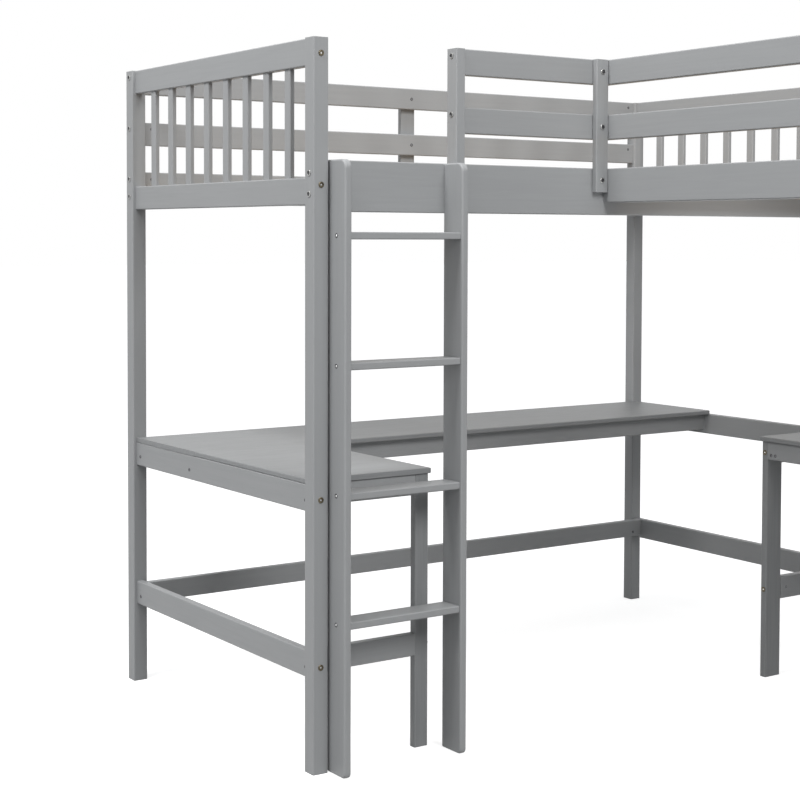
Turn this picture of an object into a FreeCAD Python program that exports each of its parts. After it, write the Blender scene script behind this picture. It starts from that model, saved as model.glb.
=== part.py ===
import FreeCAD, Part
import os

# L-shaped loft bed: two raised single beds that meet in a corner, each with
# a ladder, guard rails and a corner desk below. Millimetres, +Z up.
# Bed one runs along X at the back, bed two runs from it towards -Y.

# Overall sizes
bedOneLength = 2004.0
bedOneWidth = 1062.0
bedTwoLength = 1960.0
bedTwoWidth = 1085.0
postHeight = 1795.0

# Stock sizes
postSide = 42.0
railThickness = 22.0
narrowRail = 67.0
deepRail = 126.0
shallowRail = 92.0
bottomRail = 58.0
supportWidth = 54.0
supportThickness = 18.0
easedEdge = 2.0

# Levels: the bed parts hang from the post tops, desks and low rails stand on the floor
guardHeight = 294.0
lowerGuardDrop = 149.0
panelLowerDrop = 337.0
slatDrop = 72.0
bottomRailTop = 297.0
deskHeight = 722.0

# End panels
spindleCount = 8
spindleWidth = 29.0
spindleThickness = 13.0
tenonLength = 12.0
tenonShoulder = 3.0
mortiseClearance = 0.2

# Slatted base
slatCount = 14
slatWidth = 70.0
slatThickness = 14.0
ledgerWidth = 34.0
ledgerHeight = 20.0
slatEndGap = 3.0

# Ladders
ladderWidth = 367.0
ladderGap = 5.0
stringerDepth = 78.0
stringerThickness = 20.0
stringerTopRadius = 22.0
stringerFootRadius = 12.0
stringerNose = 5.0
rungCount = 4
firstRungTop = 380.0
topRungDrop = 175.0
rungThickness = 18.0
rungInset = 6.0
housingDepth = 6.0
hangerDrop = 14.0

# Guard posts beside the ladders and the post in the inner corner
guardPostWidth = 28.0
guardPostStart = 424.0
guardTongueLength = 90.0
cornerPostThickness = 18.0
cornerPostDrop = 65.0
leftSupportPlace = 715.0
backSupportShift = 7.0

# Desks
deskThickness = 14.0
apronHeight = 54.0
deskOneDepth = 376.0
deskTwoDepth = 384.0
wingWidth = 366.0
deskNose = 4.0
deskOverhang = 8.0
longApronSetback = 26.0
rearApronSetback = 13.0
deskLegWidth = 41.0
deskEndLegWidth = 62.0
deskLegThickness = 22.0
wingLegStart = 330.0
postNotchGap = 1.0

# Connecting bolts
boltDiameter = 6.0
boltHeadDiameter = 15.0
boltHeadHeight = 2.5
boltBite = 40.0
boltClearance = 0.6
boltTipGap = 2.0
boltStagger = 15.0
panelBoltDrop = 5.5
sideBoltLift = 5.0
railBoltSpread = 25.5
shallowRailBoltDrop = 30.0
shallowRailBoltLift = 12.0

# Derived planes, measured from the front left corner of bed one
railRecess = (postSide - railThickness) / 2
nearPlane = -bedTwoLength
backPlane = bedOneWidth
rightPlane = bedOneLength
innerPlane = rightPlane - bedTwoWidth
railFront = railRecess
railBack = railRecess + railThickness
backRailFront = backPlane - railBack
backRailBack = backPlane - railFront
rightRailLeft = rightPlane - railBack
rightRailRight = rightPlane - railFront
innerRailLeft = innerPlane + railRecess
innerRailRight = innerRailLeft + railThickness
nearRailFront = nearPlane + railRecess
nearRailBack = nearRailFront + railThickness
postMiddle = postSide / 2
sideRailTop = postHeight - guardHeight
lowerGuardTop = postHeight - lowerGuardDrop
panelLowerTop = postHeight - panelLowerDrop
slatLevel = sideRailTop - slatDrop
panelTopBottom = postHeight - narrowRail
panelLowerBottom = panelLowerTop - narrowRail
lowerGuardBottom = lowerGuardTop - narrowRail
sideRailBottom = sideRailTop - deepRail
shallowRailBottom = sideRailTop - shallowRail
bottomRailBottom = bottomRailTop - bottomRail
endBottomRailBottom = bottomRailTop - narrowRail
deskUnderside = deskHeight - deskThickness
apronBottom = deskUnderside - apronHeight
endRailBottom = deskUnderside - narrowRail
hangerLevel = sideRailTop - hangerDrop
ladderStart = postSide + ladderGap
rungSpacing = (sideRailTop - topRungDrop - firstRungTop) / (rungCount - 1)
guardPostEnd = guardPostStart + guardPostWidth
nearGuardStart = nearPlane + guardPostStart
nearGuardEnd = nearPlane + guardPostEnd
deskOneBack = backPlane - postSide - postNotchGap
deskTwoRight = rightPlane - postSide - postNotchGap
backApronBack = deskOneBack - rearApronSetback
backApronFront = backApronBack - railThickness
rightApronRight = deskTwoRight - rearApronSetback
rightApronLeft = rightApronRight - railThickness
wingLegFront = postSide + postNotchGap
wingLegBack = wingLegFront + deskLegThickness
wingLegEnd = wingLegStart + deskLegWidth
farLegFront = railFront + deskNose
farLegBack = farLegFront + deskLegThickness
farLegLeft = deskTwoRight - deskTwoDepth + deskOverhang
farLegRight = farLegLeft + deskEndLegWidth

# The origin is the middle of the footprint, on the floor
supportReach = supportThickness - railRecess
footprintLeft = -boltHeadHeight
footprintRight = rightPlane + supportReach
footprintNear = nearPlane - boltHeadHeight
footprintBack = backPlane + supportReach
originX = (footprintLeft + footprintRight) / 2
originY = (footprintNear + footprintBack) / 2

nodes = {}


def add(name, *solids):
    nodes.setdefault(name, []).extend(solids)


def box(x0, x1, y0, y1, z0, z1):
    corner = FreeCAD.Vector(min(x0, x1), min(y0, y1), min(z0, z1))
    return Part.makeBox(abs(x1 - x0), abs(y1 - y0), abs(z1 - z0), corner)


def board(x0, x1, y0, y1, z0, z1):
    # A planed board: the four edges along its length are eased
    solid = box(x0, x1, y0, y1, z0, z1)
    spans = (abs(x1 - x0), abs(y1 - y0), abs(z1 - z0))
    longest = max(spans)
    longEdges = [edge for edge in solid.Edges if abs(edge.Length - longest) < longest / 1000]
    return solid.makeChamfer(min(easedEdge, min(spans) / 4), longEdges)


def rod(x, y, z, direction, length, diameter):
    return Part.makeCylinder(diameter / 2, length, FreeCAD.Vector(x, y, z), FreeCAD.Vector(*direction))


def trim(names, tool):
    # Cut one tool out of every solid that it meets in the named pieces
    for name in names:
        nodes[name] = [solid.cut(tool) if solid.BoundBox.intersect(tool.BoundBox) else solid
                       for solid in nodes[name]]


def bolt(group, head, direction, grip, *joined):
    # A headed bolt from the outer face of a post into the end of a rail
    x, y, z = head
    dx, dy, dz = direction
    reach = grip + boltBite
    hole = rod(x, y, z, direction, reach + boltTipGap, boltDiameter + boltClearance)
    trim(joined, hole)
    back = (x - dx * boltHeadHeight, y - dy * boltHeadHeight, z - dz * boltHeadHeight)
    crown = rod(*back, direction, boltHeadHeight, boltHeadDiameter)
    crown = crown.makeChamfer(boltHeadHeight / 3, outerRim(crown, back))
    add(group, crown.fuse(rod(x, y, z, direction, reach, boltDiameter)).removeSplitter())


def outerRim(crown, centre):
    point = FreeCAD.Vector(*centre)
    circles = [edge for edge in crown.Edges if edge.Curve.TypeId == "Part::GeomCircle"]
    return [edge for edge in circles if edge.Curve.Center.distanceToPoint(point) < boltHeadHeight / 4]


def stud(group, start, direction, grip, *joined):
    # A headless stud through a post, shared by the rails on both sides of it
    x, y, z = start
    dx, dy, dz = direction
    reach = grip + 2 * boltBite
    tail = (x - dx * boltBite, y - dy * boltBite, z - dz * boltBite)
    far = boltBite + boltTipGap
    mouth = (x - dx * far, y - dy * far, z - dz * far)
    hole = rod(*mouth, direction, reach + 2 * boltTipGap, boltDiameter + boltClearance)
    trim(joined, hole)
    add(group, rod(*tail, direction, reach, boltDiameter))


def middle(bottom, top):
    return (bottom + top) / 2


def makePosts():
    places = {
        "post_front_left": (0, 0),
        "post_back_left": (0, backPlane - postSide),
        "post_back_right": (rightPlane - postSide, backPlane - postSide),
        "post_inner_right": (rightPlane - postSide, 0),
        "post_near_left": (innerPlane, nearPlane),
        "post_near_right": (rightPlane - postSide, nearPlane),
    }
    for name, (x, y) in places.items():
        add(name, board(x, x + postSide, y, y + postSide, 0, postHeight))


def spindle(centre, alongY, planeMiddle):
    # A flat spindle with a stub tenon at each end, standing between two rails
    half = spindleWidth / 2
    depth = spindleThickness / 2
    neck = half - tenonShoulder
    thin = depth - tenonShoulder
    body = upright(centre, planeMiddle, alongY, half, depth, panelLowerTop, panelTopBottom, board)
    low = panelLowerTop - tenonLength
    high = panelTopBottom + tenonLength
    return body.fuse(upright(centre, planeMiddle, alongY, neck, thin, low, high)).removeSplitter()


def upright(centre, planeMiddle, alongY, half, depth, z0, z1, make=box):
    if alongY:
        return make(planeMiddle - depth, planeMiddle + depth, centre - half, centre + half, z0, z1)
    return make(centre - half, centre + half, planeMiddle - depth, planeMiddle + depth, z0, z1)


def makePanel(name, alongY, start, end, planeLow, planeHigh):
    # Top rail, lower rail and a row of spindles tenoned between them
    rails = {"top_rail": (panelTopBottom, postHeight), "lower_rail": (panelLowerBottom, panelLowerTop)}
    for part, (z0, z1) in rails.items():
        if alongY:
            add(name + "_" + part, board(planeLow, planeHigh, start, end, z0, z1))
        else:
            add(name + "_" + part, board(start, end, planeLow, planeHigh, z0, z1))
    planeMiddle = middle(planeLow, planeHigh)
    pitch = (end - start) / (spindleCount + 1)
    neck = spindleWidth / 2 - tenonShoulder + mortiseClearance
    thin = spindleThickness / 2 - tenonShoulder + mortiseClearance
    low = panelLowerTop - tenonLength - mortiseClearance
    high = panelTopBottom + tenonLength + mortiseClearance
    for index in range(spindleCount):
        centre = start + pitch * (index + 1)
        add(name + "_spindles", spindle(centre, alongY, planeMiddle))
        mortise = upright(centre, planeMiddle, alongY, neck, thin, low, high)
        trim([name + "_top_rail", name + "_lower_rail"], mortise)


def makeSideRails():
    inner = rightPlane - postSide
    deep = (sideRailBottom, sideRailTop)
    shallow = (shallowRailBottom, sideRailTop)
    nearFace = nearPlane + postSide
    add("bed_one_front_rail", board(postSide, inner, railFront, railBack, *deep))
    add("bed_one_back_rail", board(postSide, inner, backRailFront, backRailBack, *shallow))
    add("bed_two_left_rail", board(innerRailLeft, innerRailRight, nearFace, railFront, *shallow))
    add("bed_two_right_rail", board(rightRailLeft, rightRailRight, nearFace, 0, *deep))


def makeGuards():
    levels = ((panelTopBottom, postHeight), (lowerGuardBottom, lowerGuardTop))
    inner = rightPlane - postSide
    nearFace = nearPlane + postSide
    for level in levels:
        front = board(guardPostEnd, innerRailRight, railFront, railBack, *level)
        back = board(postSide, inner, backRailFront, backRailBack, *level)
        left = board(innerRailLeft, innerRailRight, nearGuardEnd, railFront, *level)
        right = board(rightRailLeft, rightRailRight, nearFace, 0, *level)
        add("bed_one_front_guard_rails", front)
        add("bed_one_back_guard_rails", back)
        add("bed_two_left_guard_rails", left)
        add("bed_two_right_guard_rails", right)


def makeGuardPosts():
    # Each stands on the side rail and grips its inner face with a tongue
    foot = sideRailTop - guardTongueLength
    one = board(guardPostStart, guardPostEnd, 0, postSide, foot, postHeight)
    one = one.cut(box(guardPostStart, guardPostEnd, 0, railBack, foot, sideRailTop))
    add("guard_post_one", one)
    two = board(innerPlane, innerPlane + postSide, nearGuardStart, nearGuardEnd, foot, postHeight)
    two = two.cut(box(innerPlane, innerRailRight, nearGuardStart, nearGuardEnd, foot, sideRailTop))
    add("guard_post_two", two)
    left = innerRailLeft - postSide
    front = railFront - cornerPostThickness
    drop = sideRailTop - cornerPostDrop
    add("corner_post", board(left, innerRailLeft, front, railFront, drop, postHeight))


def makeSupports():
    # Uprights that tie the long guard rails to the side rail below them
    half = supportWidth / 2
    across = bedOneLength / 2 - backSupportShift
    back = backRailBack + supportThickness
    full = (shallowRailBottom, postHeight)
    add("guard_supports", board(across - half, across + half, backRailBack, back, *full))
    along = nearPlane / 2
    out = rightRailRight + supportThickness
    full = (sideRailBottom, postHeight)
    add("guard_supports", board(rightRailRight, out, along - half, along + half, *full))
    inside = innerRailRight + supportThickness
    place = -leftSupportPlace
    foot = slatLevel + slatThickness + slatEndGap
    add("guard_supports", board(innerRailRight, inside, place - half, place + half, foot, postHeight))


def makeSlats():
    low = slatLevel - ledgerHeight
    start = postSide
    end = rightPlane - postSide
    front = railBack
    back = backRailFront
    add("slat_ledgers", box(start, end, front, front + ledgerWidth, low, slatLevel))
    add("slat_ledgers", box(start, end, back - ledgerWidth, back, low, slatLevel))
    trim(["slat_ledgers"], box(guardPostStart, guardPostEnd, railBack, postSide, low, slatLevel))
    pitch = (end - start - slatWidth) / (slatCount - 1)
    for index in range(slatCount):
        x = start + pitch * index
        y0 = postSide + slatEndGap
        y1 = backRailFront - slatEndGap
        add("bed_one_slats", box(x, x + slatWidth, y0, y1, slatLevel, slatLevel + slatThickness))
    near = nearPlane + postSide
    far = 0
    add("slat_ledgers", box(innerRailRight, innerRailRight + ledgerWidth, near, far, low, slatLevel))
    add("slat_ledgers", box(rightRailLeft - ledgerWidth, rightRailLeft, near, far, low, slatLevel))
    tongue = box(innerRailRight, innerPlane + postSide, nearGuardStart, nearGuardEnd, low, slatLevel)
    trim(["slat_ledgers"], tongue)
    pitch = (far - near - slatWidth) / (slatCount - 1)
    for index in range(slatCount):
        y = near + pitch * index
        x0 = innerPlane + postSide + slatEndGap
        x1 = rightRailLeft - slatEndGap
        add("bed_two_slats", box(x0, x1, y, y + slatWidth, slatLevel, slatLevel + slatThickness))


def slab(point, a0, a1, o0, o1, z0, z1, make=box):
    xa, ya, za = point(a0, o0, z0)
    xb, yb, zb = point(a1, o1, z1)
    return make(min(xa, xb), max(xa, xb), min(ya, yb), max(ya, yb), za, zb)


def stringer(point, a0, a1):
    # The free edge of the plank is rounded over, and its upper and lower corners rounded off
    plank = slab(point, a0, a1, 0, stringerDepth, 0, sideRailTop)
    corners = ((stringerTopRadius, sideRailTop, -1), (stringerFootRadius, 0, 1))
    for radius, level, turn in corners:
        out = stringerDepth - radius
        up = level + turn * radius
        corner = slab(point, a0, a1, out, stringerDepth, level, up)
        start = FreeCAD.Vector(*point(a0, out, up))
        end = FreeCAD.Vector(*point(a1, out, up))
        quarter = Part.makeCylinder(radius, (end - start).Length, start, end - start)
        plank = plank.cut(corner.cut(quarter)).removeSplitter()
    half = sideRailTop / 2
    marks = [Part.Vertex(*point(a, stringerDepth, half)) for a in (a0, a1)]
    noses = [edge for edge in plank.Edges if min(edge.distToShape(mark)[0] for mark in marks) < 0.01]
    return plank.makeFillet(stringerNose, noses)


def makeLadder(name, point):
    # The point function turns across, out from the rail and up into X, Y and Z
    clear = mortiseClearance
    for a0 in (0.0, ladderWidth - stringerThickness):
        add(name + "_stringers", stringer(point, a0, a0 + stringerThickness))
    a0 = stringerThickness - housingDepth
    a1 = ladderWidth - stringerThickness + housingDepth
    for index in range(rungCount):
        top = firstRungTop + rungSpacing * index
        bottom = top - rungThickness
        near = rungInset
        far = stringerDepth - rungInset
        add(name + "_rungs", slab(point, a0, a1, near, far, bottom, top, board))
        seat = (near - clear, far + clear, bottom - clear, top + clear)
        trim([name + "_stringers"], slab(point, a0 - clear, a1 + clear, *seat))


def makeLadders():
    makeLadder("ladder_one", lambda across, out, up: (ladderStart + across, railFront - out, up))
    foot = nearPlane + ladderStart
    makeLadder("ladder_two", lambda across, out, up: (innerRailLeft - out, foot + across, up))


def notch(x0, x1, y0, y1):
    # Room for a post that stands in the corner of a desk top
    gap = postNotchGap
    return box(x0 - gap, x1 + gap, y0 - gap, y1 + gap, deskUnderside, deskHeight)


def makeDeskOne():
    # The tops lie between the posts, on the end rail and the aprons
    far = backPlane - postSide
    longFront = deskOneBack - deskOneDepth
    longEnd = rightRailLeft - postNotchGap
    wingFront = wingLegFront - deskNose
    wingRight = railFront + wingWidth
    level = (deskUnderside, deskHeight)
    add("desk_one_long_top", board(railFront, longEnd, longFront, deskOneBack, *level))
    wing = board(railFront, wingRight, wingFront, longFront, *level)
    add("desk_one_wing_top", wing.cut(notch(0, postSide, 0, postSide)))
    deep = (endRailBottom, deskUnderside)
    add("desk_one_left_apron", board(railFront, railBack, postSide, far, *deep))
    add("right_wall_rail", board(rightRailLeft, rightRailRight, postSide, far, *deep))
    apron = (apronBottom, deskUnderside)
    front = longFront + longApronSetback
    add("desk_one_long_apron", board(railBack, rightRailLeft, front, front + railThickness, *apron))
    add("desk_one_back_apron", board(railBack, rightRailLeft, backApronFront, backApronBack, *apron))
    add("desk_one_leg", board(wingLegStart, wingLegEnd, wingLegFront, wingLegBack, 0, deskUnderside))
    side = wingLegEnd - railThickness
    add("desk_one_wing_aprons", board(railBack, wingLegStart, wingLegFront, wingLegBack, *apron))
    add("desk_one_wing_aprons", board(side, wingLegEnd, wingLegBack, front, *apron))


def makeDeskTwo():
    inner = rightPlane - postSide
    longLeft = deskTwoRight - deskTwoDepth
    farEdge = farLegBack + deskNose / 2
    wingBack = nearRailFront + wingWidth
    legLeft = innerPlane + wingLegFront
    legRight = innerPlane + wingLegBack
    legNear = nearPlane + wingLegStart
    legFar = nearPlane + wingLegEnd
    wingLeft = legLeft - deskNose
    level = (deskUnderside, deskHeight)
    add("desk_two_long_top", board(longLeft, deskTwoRight, nearRailFront, farEdge, *level))
    wing = board(wingLeft, longLeft, nearRailFront, wingBack, *level)
    wing = wing.cut(notch(innerPlane, innerPlane + postSide, nearPlane, nearPlane + postSide))
    add("desk_two_wing_top", wing)
    deep = (endRailBottom, deskUnderside)
    add("desk_two_near_apron", board(innerPlane + postSide, inner, nearRailFront, nearRailBack, *deep))
    add("desk_two_wing_aprons", board(farLegRight, inner, farLegFront, farLegBack, *deep))
    apron = (apronBottom, deskUnderside)
    inside = farLegLeft + railThickness
    add("desk_two_long_apron", board(farLegLeft, inside, nearRailBack, farLegFront, *apron))
    add("desk_two_right_apron", board(rightApronLeft, rightApronRight, nearRailBack, farLegFront, *apron))
    add("desk_two_leg", board(farLegLeft, farLegRight, farLegFront, farLegBack, 0, deskUnderside))
    add("desk_two_wing_leg", board(legLeft, legRight, legNear, legFar, 0, deskUnderside))
    add("desk_two_wing_aprons", board(legLeft, legRight, nearRailBack, legNear, *apron))
    add("desk_two_wing_aprons", board(legRight, farLegLeft, legFar - railThickness, legFar, *apron))


def makeBottomRails():
    # The end rails join posts, the narrower ones run between the end rails
    deep = (endBottomRailBottom, bottomRailTop)
    inner = rightPlane - postSide
    far = backPlane - postSide
    add("left_bottom_rail", board(railFront, railBack, postSide, far, *deep))
    add("right_bottom_rail", board(rightRailLeft, rightRailRight, postSide, far, *deep))
    add("near_bottom_rail", board(innerPlane + postSide, inner, nearRailFront, nearRailBack, *deep))
    add("short_bottom_rails", board(farLegRight, inner, farLegFront, farLegBack, *deep))
    low = (bottomRailBottom, bottomRailTop)
    right = (rightApronLeft, rightApronRight)
    add("back_bottom_rail", board(railBack, rightRailLeft, backApronFront, backApronBack, *low))
    add("bed_two_right_bottom_rail", board(*right, nearRailBack, farLegFront, *low))
    add("short_bottom_rails", board(railBack, wingLegStart, wingLegFront, wingLegBack, *low))
    legLeft = innerPlane + wingLegFront
    legRight = innerPlane + wingLegBack
    add("short_bottom_rails", board(legLeft, legRight, nearRailBack, nearPlane + wingLegStart, *low))


def boltPanels():
    # Bolts along X and along Y pass each other in the posts at different levels
    group = "end_rail_bolts"
    top = middle(panelTopBottom, postHeight)
    low = middle(panelLowerBottom, panelLowerTop) + boltStagger
    x = postMiddle
    for part, z in (("top_rail", top - panelBoltDrop), ("lower_rail", low)):
        rail = "left_end_" + part
        bolt(group, (x, 0, z), (0, 1, 0), postSide, "post_front_left", rail)
        bolt(group, (x, backPlane, z), (0, -1, 0), postSide, "post_back_left", rail)
        rail = "right_end_" + part
        bolt(group, (rightPlane - x, backPlane, z), (0, -1, 0), postSide, "post_back_right", rail)
    for part, z in (("top_rail", top + boltStagger), ("lower_rail", low)):
        rail = "near_end_" + part
        y = nearPlane + postMiddle
        bolt(group, (innerPlane, y, z), (1, 0, 0), postSide, "post_near_left", rail)
        bolt(group, (rightPlane, y, z), (-1, 0, 0), postSide, "post_near_right", rail)


def boltSideRails():
    group = "side_rail_bolts"
    level = middle(sideRailBottom, sideRailTop) + sideBoltLift
    for z in (level - railBoltSpread, level + railBoltSpread):
        y = postMiddle
        bolt(group, (0, y, z), (1, 0, 0), postSide, "post_front_left", "bed_one_front_rail")
        bolt(group, (rightPlane, y, z), (-1, 0, 0), postSide, "post_inner_right", "bed_one_front_rail")
        x = rightPlane - postMiddle
        bolt(group, (x, nearPlane, z), (0, 1, 0), postSide, "post_near_right", "bed_two_right_rail")
    level = middle(shallowRailBottom, sideRailTop)
    for z in (level - railBoltSpread, level + railBoltSpread):
        y = backPlane - postMiddle
        bolt(group, (0, y, z), (1, 0, 0), postSide, "post_back_left", "bed_one_back_rail")
        bolt(group, (rightPlane, y, z), (-1, 0, 0), postSide, "post_back_right", "bed_one_back_rail")
    x = innerPlane + postMiddle
    for z in (level - shallowRailBoltDrop, level + shallowRailBoltLift):
        bolt(group, (x, nearPlane, z), (0, 1, 0), postSide, "post_near_left", "bed_two_left_rail")
    hanger = (x, railBack, hangerLevel)
    bolt(group, hanger, (0, -1, 0), railThickness, "bed_one_front_rail", "bed_two_left_rail")


def boltGuards():
    group = "guard_bolts"
    rails = middle(panelTopBottom, postHeight), middle(lowerGuardBottom, lowerGuardTop)
    y = backPlane - postMiddle
    x = rightPlane - postMiddle
    for level in rails:
        z = level + boltStagger
        bolt(group, (0, y, z), (1, 0, 0), postSide, "post_back_left", "bed_one_back_guard_rails")
        far = (rightPlane, y, z)
        bolt(group, far, (-1, 0, 0), postSide, "post_back_right", "bed_one_back_guard_rails")
        guardOne = (guardPostStart, postMiddle, z)
        bolt(group, guardOne, (1, 0, 0), guardPostWidth, "guard_post_one", "bed_one_front_guard_rails")
        z = level - boltStagger
        near = (x, nearPlane, z)
        bolt(group, near, (0, 1, 0), postSide, "post_near_right", "bed_two_right_guard_rails")
        guardTwo = (innerPlane + postMiddle, nearGuardStart, z)
        bolt(group, guardTwo, (0, 1, 0), guardPostWidth, "guard_post_two", "bed_two_left_guard_rails")
        meeting = (innerPlane + postMiddle, railBack, level)
        pair = ("bed_one_front_guard_rails", "bed_two_left_guard_rails")
        bolt(group, meeting, (0, -1, 0), railThickness, *pair)
    front = railFront - cornerPostThickness
    cornerMiddle = innerRailLeft - postMiddle
    grip = cornerPostThickness + railThickness - boltBite - boltTipGap
    foot = sideRailTop - cornerPostDrop / 2
    backing = {"bed_one_front_guard_rails": rails, "bed_one_front_rail": (foot,)}
    for rail, levels in backing.items():
        for z in levels:
            bolt(group, (cornerMiddle, front, z), (0, 1, 0), grip, "corner_post", rail)


def boltLadders():
    # The stringers hang on the side rails, bolted from the mattress side
    group = "side_rail_bolts"
    half = stringerThickness / 2
    for across in (ladderStart + half, ladderStart + ladderWidth - half):
        inside = (across, railBack, hangerLevel)
        bolt(group, inside, (0, -1, 0), railThickness, "bed_one_front_rail", "ladder_one_stringers")
        inside = (innerRailRight, nearPlane + across, hangerLevel)
        bolt(group, inside, (-1, 0, 0), railThickness, "bed_two_left_rail", "ladder_two_stringers")


def studInnerPost():
    # Rails meet on both faces of the inner right post and share one stud
    group = "inner_post_studs"
    x = rightPlane - postMiddle
    top = middle(panelTopBottom, postHeight) - panelBoltDrop
    low = middle(panelLowerBottom, panelLowerTop) + boltStagger
    pairs = (
        (top, "right_end_top_rail", "bed_two_right_guard_rails"),
        (low, "right_end_lower_rail", "bed_two_right_rail"),
    )
    for z, behind, ahead in pairs:
        stud(group, (x, 0, z), (0, 1, 0), postSide, "post_inner_right", behind, ahead)
    z = middle(lowerGuardBottom, lowerGuardTop) - boltStagger
    rail = "bed_two_right_guard_rails"
    bolt("guard_bolts", (x, postSide, z), (0, -1, 0), postSide, "post_inner_right", rail)


def boltLowRails():
    group = "end_rail_bolts"
    desk = middle(endRailBottom, deskUnderside)
    foot = middle(endBottomRailBottom, bottomRailTop)
    x = postMiddle
    for z, rail in ((desk, "desk_one_left_apron"), (foot, "left_bottom_rail")):
        bolt(group, (x, 0, z), (0, 1, 0), postSide, "post_front_left", rail)
        bolt(group, (x, backPlane, z), (0, -1, 0), postSide, "post_back_left", rail)
    x = rightPlane - postMiddle
    for z, rail in ((desk, "right_wall_rail"), (foot, "right_bottom_rail")):
        bolt(group, (x, 0, z), (0, 1, 0), postSide, "post_inner_right", rail)
        bolt(group, (x, backPlane, z), (0, -1, 0), postSide, "post_back_right", rail)
    y = middle(farLegFront, farLegBack)
    for z, rail in ((desk, "desk_two_wing_aprons"), (foot, "short_bottom_rails")):
        bolt(group, (farLegLeft, y, z), (1, 0, 0), deskEndLegWidth, "desk_two_leg", rail)
        bolt(group, (rightPlane, y, z + boltStagger), (-1, 0, 0), postSide, "post_inner_right", rail)
    y = nearPlane + postMiddle
    for z, rail in ((desk, "desk_two_near_apron"), (foot, "near_bottom_rail")):
        bolt(group, (innerPlane, y, z), (1, 0, 0), postSide, "post_near_left", rail)
        bolt(group, (rightPlane, y, z), (-1, 0, 0), postSide, "post_near_right", rail)


def boltWingLegs():
    # Through each wing leg into the end of the apron and of the low rail beside it
    group = "end_rail_bolts"
    out = middle(wingLegFront, wingLegBack)
    apron = middle(apronBottom, deskUnderside)
    foot = middle(bottomRailBottom, bottomRailTop)
    for z, railOne, railTwo in ((apron, "desk_one_wing_aprons", "desk_two_wing_aprons"),
                                (foot, "short_bottom_rails", "short_bottom_rails")):
        bolt(group, (wingLegEnd, out, z), (-1, 0, 0), deskLegWidth, "desk_one_leg", railOne)
        side = (innerPlane + out, nearPlane + wingLegEnd, z)
        bolt(group, side, (0, -1, 0), deskLegWidth, "desk_two_wing_leg", railTwo)


makePosts()
makePanel("left_end", True, postSide, backPlane - postSide, railFront, railBack)
makePanel("right_end", True, postSide, backPlane - postSide, rightRailLeft, rightRailRight)
makePanel("near_end", False, innerPlane + postSide, rightPlane - postSide, nearRailFront, nearRailBack)
makeSideRails()
makeGuards()
makeGuardPosts()
makeSupports()
makeSlats()
makeLadders()
makeDeskOne()
makeDeskTwo()
makeBottomRails()
boltPanels()
boltSideRails()
boltGuards()
boltLadders()
studInnerPost()
boltLowRails()
boltWingLegs()

os.makedirs("parts", exist_ok=True)
shift = FreeCAD.Vector(-originX, -originY, 0)
for name, solids in nodes.items():
    shape = solids[0] if len(solids) == 1 else Part.makeCompound(solids)
    shape.translate(shift)
    shape.exportStep("parts/" + name + ".step")
print(len(nodes), "pieces and groups written")
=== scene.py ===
import math

import bmesh
import bpy
from mathutils import Matrix, Vector


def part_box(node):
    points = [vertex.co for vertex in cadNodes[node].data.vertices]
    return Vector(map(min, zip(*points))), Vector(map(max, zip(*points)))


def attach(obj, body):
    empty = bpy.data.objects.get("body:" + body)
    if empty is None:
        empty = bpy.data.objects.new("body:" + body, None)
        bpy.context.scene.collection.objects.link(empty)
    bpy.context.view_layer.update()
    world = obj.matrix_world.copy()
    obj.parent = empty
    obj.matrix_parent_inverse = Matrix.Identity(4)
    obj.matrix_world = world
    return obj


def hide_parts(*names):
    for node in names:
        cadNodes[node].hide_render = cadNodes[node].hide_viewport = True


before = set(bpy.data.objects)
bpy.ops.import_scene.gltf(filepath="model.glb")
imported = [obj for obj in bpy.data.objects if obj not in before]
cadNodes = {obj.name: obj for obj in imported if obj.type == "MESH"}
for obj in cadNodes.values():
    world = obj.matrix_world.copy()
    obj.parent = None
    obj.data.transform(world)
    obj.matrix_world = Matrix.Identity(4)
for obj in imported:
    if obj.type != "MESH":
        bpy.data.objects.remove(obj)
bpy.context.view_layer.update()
print("loaded", len(cadNodes), "CAD pieces")

# Lengths are in metres, in the part's own frame
viewpoint = {
    "place": (-3.04455, -2.92864, 1.31892),
    "turn": 34.179,  # degrees from +Y towards +X
    "tilt": -2.276,
    "roll": 0.156,
    "lens": 73.556,  # millimetres, as the sensor
    "sensor": 36,
    "shift": (0, -0.125),  # keeps the posts upright in the picture
    "farthest": 200,
}


def placeCamera(values):
    turn, tilt, roll = (math.radians(values[key]) for key in ("turn", "tilt", "roll"))
    level = Vector((math.sin(turn), math.cos(turn), 0))
    ahead = level * math.cos(tilt) + Vector((0, 0, math.sin(tilt)))
    right = Vector((math.cos(turn), -math.sin(turn), 0))
    up = right.cross(ahead)
    sideways = right * math.cos(roll) + up * math.sin(roll)
    upwards = up * math.cos(roll) - right * math.sin(roll)
    lens = bpy.data.cameras.new("camera")
    lens.sensor_width = values["sensor"]
    lens.lens = values["lens"]
    lens.shift_x, lens.shift_y = values["shift"]
    lens.clip_end = values["farthest"]
    camera = bpy.data.objects.new("camera", lens)
    bpy.context.scene.collection.objects.link(camera)
    aim = Matrix((sideways, upwards, -ahead)).transposed().to_4x4()
    camera.matrix_world = Matrix.Translation(values["place"]) @ aim
    bpy.context.scene.camera = camera


placeCamera(viewpoint)
print("camera placed")

white = (1, 1, 1, 1)
black = (0, 0, 0, 1)
edgeSamples = 4


def newMaterial(name):
    material = bpy.data.materials.new(name)
    material.use_nodes = True
    tree = material.node_tree
    return material, tree, tree.nodes["Principled BSDF"]


def addNode(tree, kind, **inputs):
    node = tree.nodes.new(kind)
    for socket, value in inputs.items():
        node.inputs[socket].default_value = value
    return node


def noise(tree, where, settings, kind="ShaderNodeTexNoise"):
    node = addNode(tree, kind, **settings)
    tree.links.new(where, node.inputs["Vector"])
    return node.outputs["Fac"]


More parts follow.
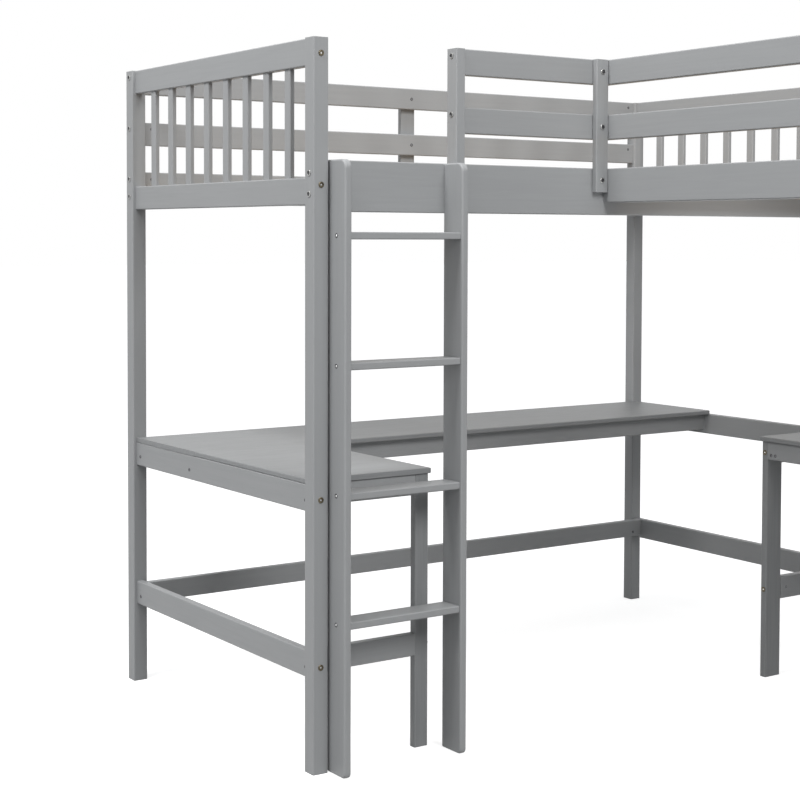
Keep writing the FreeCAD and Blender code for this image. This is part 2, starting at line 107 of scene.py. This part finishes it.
def ramp(tree, source, span, lowColour, highColour):
    node = tree.nodes.new("ShaderNodeValToRGB")
    for stop, position, colour in zip(node.color_ramp.elements, span, (lowColour, highColour)):
        stop.position = position
        stop.color = colour
    tree.links.new(source, node.inputs["Fac"])
    return node.outputs["Color"]


def blendColours(tree, factor, first, second):
    # The factor is a plain share or a socket
    mix = tree.nodes.new("ShaderNodeMix")
    mix.data_type = "RGBA"
    if isinstance(factor, float):
        mix.inputs["Factor"].default_value = factor
    else:
        tree.links.new(factor, mix.inputs["Factor"])
    tree.links.new(first, mix.inputs["A"])
    tree.links.new(second, mix.inputs["B"])
    return mix.outputs["Result"]


def alongGrain(tree, axis, along, across):
    # Coordinates as they are, and squeezed along the board so that noise turns into fibres
    place = tree.nodes.new("ShaderNodeTexCoord")
    stretch = tree.nodes.new("ShaderNodeMapping")
    scale = [across, across, across]
    scale[axis] = along
    stretch.inputs["Scale"].default_value = scale
    tree.links.new(place.outputs["Object"], stretch.inputs["Vector"])
    return place.outputs["Object"], stretch.outputs["Vector"]


def roundedEdges(tree, radius):
    bevel = addNode(tree, "ShaderNodeBevel", Radius=radius)
    bevel.samples = edgeSamples
    return bevel.outputs["Normal"]


def edgeTurn(tree, normal):
    # 1 on a flat face, less where the rounded normal turns away from it
    flat = tree.nodes.new("ShaderNodeNewGeometry")
    turned = tree.nodes.new("ShaderNodeVectorMath")
    turned.operation = "DOT_PRODUCT"
    tree.links.new(normal, turned.inputs[0])
    tree.links.new(flat.outputs["Normal"], turned.inputs[1])
    return turned.outputs["Value"]


def unevenSheen(tree, shader, source, look, span=(0, 1)):
    sheen = tree.nodes.new("ShaderNodeMapRange")
    sheen.inputs["From Min"].default_value, sheen.inputs["From Max"].default_value = span
    sheen.inputs["To Min"].default_value = look["glossy"]
    sheen.inputs["To Max"].default_value = look["dull"]
    tree.links.new(source, sheen.inputs["Value"])
    tree.links.new(sheen.outputs["Result"], shader.inputs["Roughness"])


def raisedGrain(tree, shader, height, normal, strength, depth):
    bump = addNode(tree, "ShaderNodeBump", Strength=strength, Distance=depth)
    tree.links.new(height, bump.inputs["Height"])
    tree.links.new(normal, bump.inputs["Normal"])
    tree.links.new(bump.outputs["Normal"], shader.inputs["Normal"])


paintLook = {
    "colour": (0.342, 0.349, 0.355, 1),
    "thinColour": (0.322, 0.329, 0.335, 1),  # where the paint sinks into the grain
    "wornColour": (0.46, 0.465, 0.465, 1),  # lighter along every edge: wear, and a painted highlight where light catches the rounded edges
    "glossy": 0.38,
    "dull": 0.54,
    "grainBump": 0.16,
    "edgeRadius": 0.0022,
}
shadedDeskLook = {
    "colour": (0.278, 0.285, 0.290, 1),  # darker than the grey paint: painted shade, for the desks standing in the shade under the beds
    "thinColour": (0.236, 0.242, 0.247, 1),
    "wornColour": (0.38, 0.385, 0.385, 1),
    "glossy": 0.40,
    "dull": 0.56,
    "grainBump": 0.18,
    "edgeRadius": 0.0022,
}
paintGrain = {
    "along": 1.1,  # how fast the fibres change along and across a board
    "across": 30,
    "fibre": {"Scale": 4.0, "Detail": 5, "Roughness": 0.68, "Distortion": 0.35},
    "fibreSpan": (0.34, 0.60),
    "cloud": {"Scale": 2.4, "Detail": 3, "Roughness": 0.5},  # broad patches in the coat
    "cloudSpan": (0.35, 0.70),
    "cloudShare": 0.3,
    "brush": {"Scale": 9, "Detail": 4, "Roughness": 0.7},
    "brushSpan": (0.3, 0.7),
    "wornAndHighlightSpan": (0.86, 0.985),
    "edgeSpan": (0.88, 0.99),
    "depth": 0.0006,
    "ior": 1.46,
    "shine": 0.45,
}


def paintedPine(name, axis, look):
    grain = paintGrain
    material, tree, shader = newMaterial(name)
    plain, fibres = alongGrain(tree, axis, grain["along"], grain["across"])
    fibre = noise(tree, fibres, grain["fibre"])
    cloud = noise(tree, plain, grain["cloud"])
    brush = noise(tree, fibres, grain["brush"])
    normal = roundedEdges(tree, look["edgeRadius"])
    turned = edgeTurn(tree, normal)
    body = ramp(tree, fibre, grain["fibreSpan"], look["thinColour"], look["colour"])
    patches = ramp(tree, cloud, grain["cloudSpan"], look["colour"], look["thinColour"])
    coat = blendColours(tree, grain["cloudShare"], body, patches)
    # Every edge is lightened: partly wear, partly a painted highlight on the rounded edges
    wornAndHighlight = ramp(tree, turned, grain["wornAndHighlightSpan"], look["wornColour"], look["colour"])
    edge = ramp(tree, turned, grain["edgeSpan"], white, black)
    tree.links.new(blendColours(tree, edge, coat, wornAndHighlight), shader.inputs["Base Color"])
    unevenSheen(tree, shader, brush, look, grain["brushSpan"])
    raisedGrain(tree, shader, fibre, normal, look["grainBump"], grain["depth"])
    shader.inputs["IOR"].default_value = grain["ior"]
    shader.inputs["Specular IOR Level"].default_value = grain["shine"]
    return material


pineLook = {
    "colour": (0.56, 0.40, 0.235, 1),
    "bandColour": (0.43, 0.275, 0.14, 1),  # late wood
    "glossy": 0.50,
    "dull": 0.72,
    "grainBump": 0.22,
    "edgeRadius": 0.0015,
}
pineGrain = {
    "along": 0.9,
    "across": 15,
    "band": {"Scale": 1.6, "Distortion": 7, "Detail": 3, "Detail Scale": 1.4},
    "bandSpan": (0.25, 0.9),
    "streak": {"Scale": 2.0, "Detail": 4, "Roughness": 0.55, "Distortion": 0.6},
    "streakSpan": (0.35, 0.75),
    "streakShare": 0.4,
    "depth": 0.0008,
}


def barePine(name, axis, look):
    grain = pineGrain
    material, tree, shader = newMaterial(name)
    fibres = alongGrain(tree, axis, grain["along"], grain["across"])[1]
    wander = noise(tree, fibres, grain["streak"])
    bands = noise(tree, fibres, grain["band"], "ShaderNodeTexWave")
    wood = ramp(tree, bands, grain["bandSpan"], look["colour"], look["bandColour"])
    streak = ramp(tree, wander, grain["streakSpan"], look["colour"], look["bandColour"])
    tree.links.new(blendColours(tree, grain["streakShare"], wood, streak), shader.inputs["Base Color"])
    unevenSheen(tree, shader, wander, look)
    normal = roundedEdges(tree, look["edgeRadius"])
    raisedGrain(tree, shader, bands, normal, look["grainBump"], grain["depth"])
    return material


zincLook = {
    "colour": (0.175, 0.150, 0.105, 1),
    "darkColour": (0.075, 0.064, 0.044, 1),  # in the scratches
    "glossy": 0.24,
    "dull": 0.42,
    "edgeRadius": 0.0004,
}
brightLook = {
    "colour": (0.44, 0.44, 0.43, 1),
    "darkColour": (0.24, 0.24, 0.235, 1),
    "glossy": 0.26,
    "dull": 0.44,
    "edgeRadius": 0.0004,
}
# Near-white metal: a painted highlight at the bottom of the end rail bolts' keys and on the ladder
# screws' buttons
paintedHighlightLook = {
    "colour": (0.86, 0.86, 0.85, 1),
    "darkColour": (0.62, 0.62, 0.61, 1),
    "glossy": 0.22,
    "dull": 0.40,
    "edgeRadius": 0.0003,
}
# Dark metal for nuts and screws. It is also painted shade in key recesses, in screw crosses and in the
# ladder screws' seats
darkSteelAndShadeLook = {
    "colour": (0.16, 0.16, 0.165, 1),
    "darkColour": (0.06, 0.06, 0.065, 1),
    "glossy": 0.32,
    "dull": 0.50,
    "edgeRadius": 0.0003,
}
metalSkin = {
    "scratch": {"Scale": 420, "Detail": 3, "Roughness": 0.6},
    "scratchSpan": (0.30, 0.62),
    "metallic": 0.9,
}


def platedMetal(name, look):
    material, tree, shader = newMaterial(name)
    place = tree.nodes.new("ShaderNodeTexCoord")
    scratch = noise(tree, place.outputs["Object"], metalSkin["scratch"])
    tint = ramp(tree, scratch, metalSkin["scratchSpan"], look["darkColour"], look["colour"])
    tree.links.new(tint, shader.inputs["Base Color"])
    unevenSheen(tree, shader, scratch, look)
    tree.links.new(roundedEdges(tree, look["edgeRadius"]), shader.inputs["Normal"])
    shader.inputs["Metallic"].default_value = metalSkin["metallic"]
    return material


def boardSet(name, make, look, letters="XYZ"):
    # One material for each way the wood can run
    return [make(name + ", grain along " + letter, axis, look) for axis, letter in enumerate(letters)]


paints = boardSet("grey paint", paintedPine, paintLook)
shadedDeskPaints = boardSet("desk paint", paintedPine, shadedDeskLook)
pines = boardSet("bare pine", barePine, pineLook, "XY")
zinc = platedMetal("yellow zinc", zincLook)
brightZinc = platedMetal("bright zinc", brightLook)
paintedHighlightSteel = platedMetal("steel with painted highlight", paintedHighlightLook)
darkSteelAndShade = platedMetal("dark steel and painted shade", darkSteelAndShadeLook)

weldGap = 0.00001  # points closer than this are one point
touchGap = 0.0005  # faces closer than this touch
sortDigits = 4


def looseParts(nodeName):
    # Low and high corner, and the points, of every separate solid in a CAD piece
    work = bmesh.new()
    work.from_mesh(cadNodes[nodeName].data)
    bmesh.ops.remove_doubles(work, verts=work.verts, dist=weldGap)
    waiting = set(work.verts)
    parts = []
    while waiting:
        found = [waiting.pop()]
        for vertex in found:
            for edge in vertex.link_edges:
                other = edge.other_vert(vertex)
                if other in waiting:
                    waiting.remove(other)
                    found.append(other)
        points = [vertex.co.copy() for vertex in found]
        low = Vector([min(point[axis] for point in points) for axis in range(3)])
        high = Vector([max(point[axis] for point in points) for axis in range(3)])
        parts.append((low, high, points))
    work.free()
    parts.sort(key=lambda part: tuple(round(value, sortDigits) for value in part[0]))
    return parts


def looseBoxes(nodeName):
    return [part[:2] for part in looseParts(nodeName)]


def longest(size):
    return max(range(3), key=lambda axis: size[axis])


def longAxis(nodeName):
    # The way most of the wood in a piece runs
    votes = [0, 0, 0]
    for low, high in looseBoxes(nodeName):
        size = high - low
        votes[longest(size)] += max(size)
    return longest(votes)


def facing(axis, sign):
    way = Vector((0, 0, 0))
    way[axis] = sign
    return way


def finishOf(nodeName):
    if nodeName.endswith(("_bolts", "_studs")):
        return zinc
    if nodeName.endswith("_slats"):
        return pines[longAxis(nodeName)]
    # Desk tops and desk legs take the darker paint: painted shade for their place under the beds
    if nodeName.endswith("_top"):
        return shadedDeskPaints[1 if nodeName.startswith("desk_two") else 0]
    if nodeName.startswith("desk_") and nodeName.endswith("_leg"):
        return shadedDeskPaints[2]
    return paints[longAxis(nodeName)]


for nodeName, node in cadNodes.items():
    node.data.materials.clear()
    node.data.materials.append(finishOf(nodeName))
print("paint, pine and zinc applied")

# Outlines of turned pieces: how far out the edge lies at each angle
leastSlope = 0.001  # keeps a straight side from running off to infinity
armCorner = 0.707  # inner corners of a cross, for arms one unit wide


def circle(radius):
    return lambda angle: radius


def hexagon(flats):
    return lambda angle: flats / 2 / math.cos(angle % (math.pi / 3) - math.pi / 6)


def cross(span, width):
    def reach(angle):
        turn = angle % (math.pi / 2)
        turn = min(turn, math.pi / 2 - turn)
        end = span / 2 / math.cos(turn)
        side = width / 2 / max(math.sin(turn), leastSlope)
        return max(min(end, side), width * armCorner)
    return reach


def slot(span, width):
    def reach(angle):
        end = span / 2 / max(abs(math.cos(angle)), leastSlope)
        side = width / 2 / max(abs(math.sin(angle)), leastSlope)
        return min(end, side)
    return reach


def turnedPieces(name, places, metal, paintedLightCore, paintedLightRings, steps=24):
    # Lathe-turned fasteners joined into one piece; each place is a seat, the way it faces and a profile
    shape = bmesh.new()
    for seat, outward, profile in places:
        side = outward.orthogonal().normalized()
        other = outward.cross(side)
        rings = []
        for outline, height in profile:
            ring = []
            for step in range(steps):
                angle = 2 * math.pi * step / steps
                spoke = side * math.cos(angle) + other * math.sin(angle)
                ring.append(shape.verts.new(seat + outward * height + spoke * outline(angle)))
            rings.append(ring)
        tip = list(reversed(rings[-1]))
        faces = [(0, shape.faces.new(rings[0])), (len(rings), shape.faces.new(tip))]
        for level, (upper, lower) in enumerate(zip(rings, rings[1:])):
            for step in range(steps):
                after = (step + 1) % steps
                band = (upper[step], lower[step], lower[after], upper[after])
                faces.append((level, shape.faces.new(band)))
        for level, face in faces:
            face.material_index = 1 if level < paintedLightRings - 1 else 0
    bmesh.ops.recalc_face_normals(shape, faces=shape.faces)
    mesh = bpy.data.meshes.new(name)
    shape.to_mesh(mesh)
    shape.free()
    piece = bpy.data.objects.new(name, mesh)
    bpy.context.scene.collection.objects.link(piece)
    mesh.materials.append(metal)
    mesh.materials.append(paintedLightCore)  # the innermost rings, coloured by the caller: a painted highlight on some fasteners, painted shade on others
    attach(piece, "root")
    return piece


boltShape = {
    "headRadius": 0.0075,
    "headHeight": 0.0025,
    "rimWidth": 0.0012,  # rounded edge of the head
    "rimHeight": 0.0011,
    "rimBend": 0.0004,
    "keyDepth": 0.0018,  # hexagon key
    "keyLip": 0.0002,
    "keySpot": (0.0028, 0.0040),  # spot at the bottom of the key; on the end rail bolts it carries a painted highlight
    "shankRadius": 0.0030,
    "tipLength": 0.001,
    "tipTaper": 0.0008,
}
endSlice = 0.0004  # points this close to an end of a bolt belong to it


def readBolts(nodeName, headHeight):
    # Seat of the head, the way it faces and how far the shank reaches, for every bolt
    bolts = []
    for low, high, points in looseParts(nodeName):
        size = high - low
        axis = longest(size)
        centre = (low + high) / 2
        spread = {}
        for end in (low[axis], high[axis]):
            ring = [point - centre for point in points if abs(point[axis] - end) < endSlice]
            for point in ring:
                point[axis] = 0
            spread[end] = max(point.length for point in ring)
        headEnd = max(spread, key=spread.get)
        outward = facing(axis, 1 if headEnd > centre[axis] else -1)
        seat = centre.copy()
        seat[axis] = headEnd - outward[axis] * headHeight
        bolts.append((seat, outward, headHeight - size[axis]))
    return bolts


def boltProfile(values, key, reach):
    head, rise, shank = values["headRadius"], values["headHeight"], values["shankRadius"]
    lip, bend = values["keyLip"], values["rimBend"]
    floor = rise - values["keyDepth"]
    bottom = [(hexagon(flats), floor) for flats in values["keySpot"]]
    return bottom + [
        (hexagon(key), floor),
        (hexagon(key), rise - lip),
        (hexagon(key + 2 * lip), rise),
        (circle(head - values["rimWidth"]), rise),
        (circle(head - bend), rise - bend),
        (circle(head), rise - values["rimHeight"]),
        (circle(head), 0.0),
        (circle(shank), 0.0),
        (circle(shank), reach + values["tipLength"]),
        (circle(shank - values["tipTaper"]), reach),
    ]


allBolts = {}
boltMetalsAndPaintedLight = {  # the head, its core (a painted highlight at the bottom of the end rail bolts' keys, painted shade filling the keys of the side rail and guard bolts), how many rings the core takes and the flats of the key
    "end_rail_bolts": (zinc, paintedHighlightSteel, 2, 0.0076),
    "side_rail_bolts": (brightZinc, darkSteelAndShade, 5, 0.0092),
    "guard_bolts": (brightZinc, darkSteelAndShade, 5, 0.0098),
}
for group, (metal, paintedLightCore, paintedLightRings, key) in boltMetalsAndPaintedLight.items():
    allBolts[group] = readBolts(group, boltShape["headHeight"])
    places = [(seat, way, boltProfile(boltShape, key, reach)) for seat, way, reach in allBolts[group]]
    piece = turnedPieces(group + "_turned", places, metal, paintedLightCore, paintedLightRings)
    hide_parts(group)
    print(group, "turned,", len(places), "bolts")

nutShape = {
    "radius": 0.0046,
    "proud": 0.0003,
    "rim": 0.0004,
    "depth": 0.004,
    "slotSpan": 0.0066,
    "slotWidth": 0.0014,
    "slotDepth": 0.0009,
    "shortestBolt": 0.065,  # shorter ones have no nut
    "bite": 0.040,  # how far a bolt goes into its rail
    "fromPost": 0.024,  # from the end of the rail to the nut
    "fromEndRail": 0.037,
}
railHalf = 0.011  # half the thickness of a rail
crossDrop = 0.013  # fasteners of the cross members sit below their middle
bedOneMiddle = Vector((0.0, 0.98, 0))
bedTwoMiddle = Vector((0.457, -0.53, 0))
deskTwoEnd = {"right": 0.45, "back": 0.48, "top": 0.8}  # its far end faces its own knee space
crossNuts = {"back_bottom_rail": 0, "bed_two_right_bottom_rail": 1}  # the axis each rail runs along


def nutProfile(values):
    proud, radius = values["proud"], values["radius"]
    groove = slot(values["slotSpan"], values["slotWidth"])
    return [
        (groove, proud - values["slotDepth"]),
        (groove, proud),
        (circle(radius - values["rim"]), proud),
        (circle(radius), 0.0),
        (circle(radius), -values["depth"]),
    ]


def roomSide(centre, across):
    # Nuts look into the room under their own bed
    home = min((bedOneMiddle, bedTwoMiddle), key=lambda middle: (middle.xy - centre.xy).length)
    underDesk = centre.z < deskTwoEnd["top"] and centre.y < deskTwoEnd["back"]
    if underDesk and centre.x > deskTwoEnd["right"]:
        home = bedTwoMiddle
    return across if across.xy.dot(home.xy - centre.xy) > 0 else -across


def barrelNuts(values):
    profile = nutProfile(values)
    places = []
    for bolts in allBolts.values():
        for seat, outward, reach in bolts:
            if -reach < values["shortestBolt"]:
                continue
            grip = -reach - values["bite"]
            centre = seat - outward * (grip + values["fromPost"])
            inward = roomSide(centre, outward.cross(Vector((0, 0, 1))))
            places.append((centre + inward * railHalf, inward, profile))
    for member, axis in crossNuts.items():
        low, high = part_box(member)
        for end in (low[axis] + values["fromEndRail"], high[axis] - values["fromEndRail"]):
            seat = (low + high) / 2
            seat[axis] = end
            seat[1 - axis] = low[1 - axis]
            seat.z -= crossDrop
            places.append((seat, facing(1 - axis, -1), profile))
    return turnedPieces("barrel_nuts", places, darkSteelAndShade, darkSteelAndShade, 2)


barrelNuts(nutShape)
print("barrel nuts set")

screwShape = {
    "radius": 0.0052,
    "proud": 0.0006,
    "neck": (0.45, 0.004),  # share of the radius, and how deep it lies
    "tip": (0.40, 0.0085),
    "dome": 0.0012,  # desk screws are rounded over, with a hexagon key
    "domeCurve": ((0.66, 0.96), (0.86, 0.7), (1, 0.2)),  # shares of radius and height
    "keyFlats": 0.0040,
    "keyDepth": 0.0014,
    "flatCurve": ((0.72, 1), (1, 0.3)),  # slat and support screws are flat, with a cross
    "crossSpan": 0.0062,
    "crossWidth": 0.0016,
    "crossDepth": 0.0012,
    "button": 0.0028,  # ladder screws have a small button with a painted highlight, in a seat with painted shade
    "buttonCurve": ((0.3, 1), (0.7, 0.86), (0.95, 0.5)),
    "buttonFoot": ((1, 0.5),),
    "buttonSeat": 0.0060,
    "seatCurve": ((0.96, 0.6),),
}


def rounded(radius, height, curve):
    return [(circle(radius * across), height * up) for across, up in curve]


def screwTail(values, radius):
    tail = [(circle(radius), 0.0)]
    for share, depth in (values["neck"], values["tip"]):
        tail.append((circle(radius * share), -depth))
    return tail


def deskProfile(values):
    radius, top = values["radius"], values["proud"] + values["dome"]
    key = hexagon(values["keyFlats"])
    recess = [(key, top - values["keyDepth"]), (key, top)]
    return recess + rounded(radius, top, values["domeCurve"]) + screwTail(values, radius)


def crossProfile(values):
    radius, top = values["radius"], values["proud"]
    key = cross(values["crossSpan"], values["crossWidth"])
    recess = [(key, top - values["crossDepth"]), (key, top)]
    return recess + rounded(radius, top, values["flatCurve"]) + screwTail(values, radius)


def buttonProfile(values):
    radius, button, proud = values["buttonSeat"], values["button"], values["proud"]
    head = rounded(button, proud + values["dome"], values["buttonCurve"])
    foot = rounded(button, proud, values["buttonFoot"])
    return head + foot + rounded(radius, proud, values["seatCurve"]) + screwTail(values, radius)


def rungScrews():
    # Through the outer face of each stringer into the end of each rung
    places = []
    for ladder, axis in (("ladder_one", 0), ("ladder_two", 1)):
        low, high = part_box(ladder + "_stringers")
        for rungLow, rungHigh in looseBoxes(ladder + "_rungs"):
            for end, sign in ((low, -1), (high, 1)):
                seat = (rungLow + rungHigh) / 2
                seat[axis] = end[axis]
                places.append((seat, facing(axis, sign)))
    return places


slatScrewPlaces = {
    "fromEnd": 0.011,
    "across": (0.28, 0.72),  # shares of the slat's width
}


def slatScrews(values):
    places = []
    for nodeName in ("bed_one_slats", "bed_two_slats"):
        axis = longAxis(nodeName)
        for low, high in looseBoxes(nodeName):
            for along in (low[axis] + values["fromEnd"], high[axis] - values["fromEnd"]):
                for share in values["across"]:
                    seat = low.lerp(high, share)
                    seat[axis] = along
                    seat.z = high.z
                    places.append((seat, facing(2, 1)))
    return places


longGuards = ("bed_one_back_guard_rails", "bed_two_right_guard_rails", "bed_two_left_guard_rails")


def supportScrews():
    # Through the rails into the uprights behind them
    places = []
    levels = [(low.z + high.z) / 2 for low, high in looseBoxes("bed_one_back_guard_rails")]
    for low, high in looseBoxes("guard_supports"):
        centre = (low + high) / 2
        thin = 0 if high.x - low.x < high.y - low.y else 1
        for rails in longGuards:
            railLow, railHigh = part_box(rails)
            apart = min(abs(low[thin] - railHigh[thin]), abs(high[thin] - railLow[thin]))
            if apart >= touchGap:
                continue
            for face, sign in ((railLow[thin], -1), (railHigh[thin], 1)):
                if (centre[thin] - face) * sign >= 0:
                    continue  # the upright is on this side
                for level in levels:
                    seat = centre.copy()
                    seat[thin] = face
                    seat.z = level
                    places.append((seat, facing(thin, sign)))
    return places


endRails = {  # the axis across each rail and the way its outer face looks
    "desk_one_left_apron": (0, -1),
    "left_bottom_rail": (0, -1),
    "right_wall_rail": (0, 1),
    "right_bottom_rail": (0, 1),
    "desk_two_near_apron": (1, -1),
    "near_bottom_rail": (1, -1),
}
crossMembers = (
    "desk_one_long_apron", "desk_one_back_apron", "desk_one_wing_aprons", "desk_two_long_apron",
    "desk_two_right_apron", "desk_two_wing_aprons", "back_bottom_rail", "bed_two_right_bottom_rail",
    "short_bottom_rails",
)
longApronScrews = (0.014, 0.030)  # two beside the leg at desk two's far end


def deskScrews():
    # Through the outer faces of the end rails into the ends of the members between them
    places = []
    for rail, (axis, sign) in endRails.items():
        railLow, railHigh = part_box(rail)
        outer, inner = (railLow, railHigh) if sign < 0 else (railHigh, railLow)
        for member in crossMembers:
            for low, high in looseBoxes(member):
                seat = (low + high) / 2
                end = low if sign < 0 else high
                if abs(end[axis] - inner[axis]) < touchGap and railLow.z < seat.z < railHigh.z:
                    seat[axis] = outer[axis]
                    seat.z -= crossDrop
                    places.append((seat, facing(axis, sign)))
    low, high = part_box("desk_two_long_apron")
    for back in longApronScrews:
        seat = Vector((low.x, high.y - back, (low.z + high.z) / 2 - crossDrop))
        places.append((seat, facing(0, -1)))
    return places


screws = {  # places, profile, head (on the ladder screws, painted shade around the button), core (a painted highlight on the ladder screws' buttons, painted shade in the slat screws' crosses) and how many rings the core takes
    "rung_screws": (rungScrews(), buttonProfile(screwShape), darkSteelAndShade, paintedHighlightSteel, 4),
    "slat_screws": (slatScrews(slatScrewPlaces), crossProfile(screwShape), brightZinc, darkSteelAndShade, 2),
    "support_screws": (supportScrews(), crossProfile(screwShape), darkSteelAndShade, darkSteelAndShade, 2),
    "desk_screws": (deskScrews(), deskProfile(screwShape), darkSteelAndShade, darkSteelAndShade, 2),
}
for name, (seats, profile, metal, paintedLightCore, paintedLightRings) in screws.items():
    places = [(seat, outward, profile) for seat, outward in seats]
    turnedPieces(name, places, metal, paintedLightCore, paintedLightRings)
    print(name, "driven,", len(seats))

studio = {
    "skyColour": (0.97, 0.985, 1, 1),
    "skyStrength": 0.50,
    "floorSize": 60,
    "floorColour": (0.6, 0.6, 0.6, 1),
    "floorGlow": 0.74,  # lifts the floor to white, the shadow stays
    "floorBounce": (0.2, 0.2, 0.2, 1),  # how the floor lights the wood
}
bedCentre = (0, 0.2, 0.9)
lamps = {
    "key": {"place": (-3.7, 0.5, 5.4), "target": bedCentre, "size": 2.0, "power": 225, "spread": 180},
    "fill": {"place": (-0.6, -4.6, 5.0), "target": bedCentre, "size": 3.0, "power": 228, "spread": 180},
    "corner": {  # under bed one, towards the wall rail
        "place": (-0.5, 0.75, 1.05),
        "target": (0.97, 1.38, 0.95),
        "size": 0.3,
        "power": 0.4,
        "spread": 45,
    },
    "under": {  # under bed two, towards the inner corner
        "place": (0.3, -0.7, 0.55),
        "target": (0.35, 0.45, 1.42),
        "size": 0.4,
        "power": 0.8,
        "spread": 50,
    },
}


def areaLamp(name, values):
    data = bpy.data.lights.new(name, "AREA")
    data.shape = "DISK"
    data.size = values["size"]
    data.energy = values["power"]
    data.spread = math.radians(values["spread"])
    lamp = bpy.data.objects.new(name, data)
    lamp.location = values["place"]
    lamp.rotation_mode = "QUATERNION"
    lamp.rotation_quaternion = (Vector(values["target"]) - lamp.location).to_track_quat("-Z", "Y")
    lamp.visible_camera = False
    bpy.context.scene.collection.objects.link(lamp)


def chooseByRay(tree, lighting, seen, target):
    # What the camera and glossy surfaces see, and what lights the wood
    path = tree.nodes.new("ShaderNodeLightPath")
    either = tree.nodes.new("ShaderNodeMath")
    either.operation = "MAXIMUM"
    tree.links.new(path.outputs["Is Camera Ray"], either.inputs[0])
    tree.links.new(path.outputs["Is Glossy Ray"], either.inputs[1])
    choose = tree.nodes.new("ShaderNodeMixShader")
    tree.links.new(either.outputs["Value"], choose.inputs["Fac"])
    tree.links.new(lighting, choose.inputs[1])
    tree.links.new(seen, choose.inputs[2])
    tree.links.new(choose.outputs["Shader"], target)


def makeSky(values):
    world = bpy.data.worlds.new("studio")
    world.use_nodes = True
    bpy.context.scene.world = world
    tree = world.node_tree
    tree.nodes.clear()
    out = tree.nodes.new("ShaderNodeOutputWorld")
    seen = addNode(tree, "ShaderNodeBackground", Color=white, Strength=1)
    lit = addNode(tree, "ShaderNodeBackground", Color=values["skyColour"], Strength=values["skyStrength"])
    chooseByRay(tree, lit.outputs["Background"], seen.outputs["Background"], out.inputs["Surface"])


def floorFinish(values):
    material, tree, shader = newMaterial("studio floor")
    tree.nodes.remove(shader)
    pale = addNode(tree, "ShaderNodeBsdfDiffuse", Color=values["floorColour"])
    glow = addNode(tree, "ShaderNodeEmission", Color=white, Strength=values["floorGlow"])
    lifted = tree.nodes.new("ShaderNodeAddShader")
    tree.links.new(pale.outputs["BSDF"], lifted.inputs[0])
    tree.links.new(glow.outputs["Emission"], lifted.inputs[1])
    dim = addNode(tree, "ShaderNodeBsdfDiffuse", Color=values["floorBounce"])
    surface = tree.nodes["Material Output"].inputs["Surface"]
    chooseByRay(tree, dim.outputs["BSDF"], lifted.outputs["Shader"], surface)
    return material


def makeFloor(values):
    shape = bmesh.new()
    bmesh.ops.create_grid(shape, x_segments=1, y_segments=1, size=values["floorSize"])
    mesh = bpy.data.meshes.new("floor")
    shape.to_mesh(mesh)
    shape.free()
    mesh.materials.append(floorFinish(values))
    floor = bpy.data.objects.new("floor", mesh)
    bpy.context.scene.collection.objects.link(floor)


makeSky(studio)
makeFloor(studio)
for name, values in lamps.items():
    areaLamp(name, values)
bpy.context.scene.view_settings.view_transform = "Standard"
print("studio lit")
